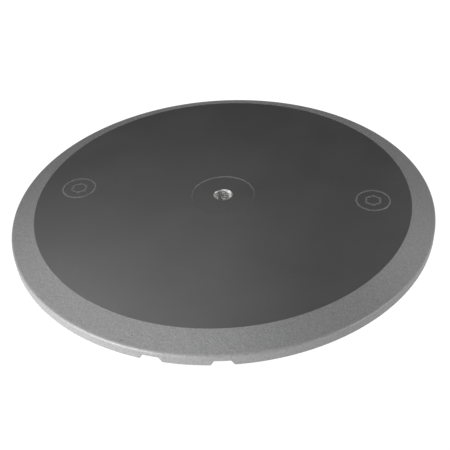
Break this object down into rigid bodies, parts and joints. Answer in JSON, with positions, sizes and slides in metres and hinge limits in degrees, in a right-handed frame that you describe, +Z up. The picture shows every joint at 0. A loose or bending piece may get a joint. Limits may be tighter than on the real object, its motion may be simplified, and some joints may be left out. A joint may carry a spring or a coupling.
{
  "type": "round base plate",
  "caption": "Heavy round cast-iron base plate with a bevelled rim and a central thread that holds an upright pole, on rubber feet.",
  "frame": {"origin": "on the thread's axis, at the level of the floor under the feet", "axes": "+Z up along the thread's axis, out of its mouth; +X towards one of the two roundels; -Y to the front, towards the pair of notches"},
  "size_m": [0.45, 0.45, 0.0225],
  "materials": {
    "coated_iron": "grey iron casting with a matte black powder coat; the thread is bare metal",
    "rubber": "moulded black rubber",
    "zinc_steel": "bright zinc-plated steel",
    "black_steel": "black oxide steel"
  },
  "bodies": {
    "root": {"base_casting": "coated_iron", "rubber_foot_1": "rubber", "foot_washer_1": "zinc_steel", "foot_screw_1": "black_steel", "rubber_foot_2": "rubber", "foot_washer_2": "zinc_steel", "foot_screw_2": "black_steel", "rubber_foot_3": "rubber", "foot_washer_3": "zinc_steel", "foot_screw_3": "black_steel", "rubber_foot_4": "rubber", "foot_washer_4": "zinc_steel", "foot_screw_4": "black_steel", "rubber_foot_5": "rubber", "foot_washer_5": "zinc_steel", "foot_screw_5": "black_steel", "rubber_foot_6": "rubber", "foot_washer_6": "zinc_steel", "foot_screw_6": "black_steel", "rubber_foot_7": "rubber", "foot_washer_7": "zinc_steel", "foot_screw_7": "black_steel", "rubber_foot_8": "rubber", "foot_washer_8": "zinc_steel", "foot_screw_8": "black_steel"}
  },
  "joints": []
}
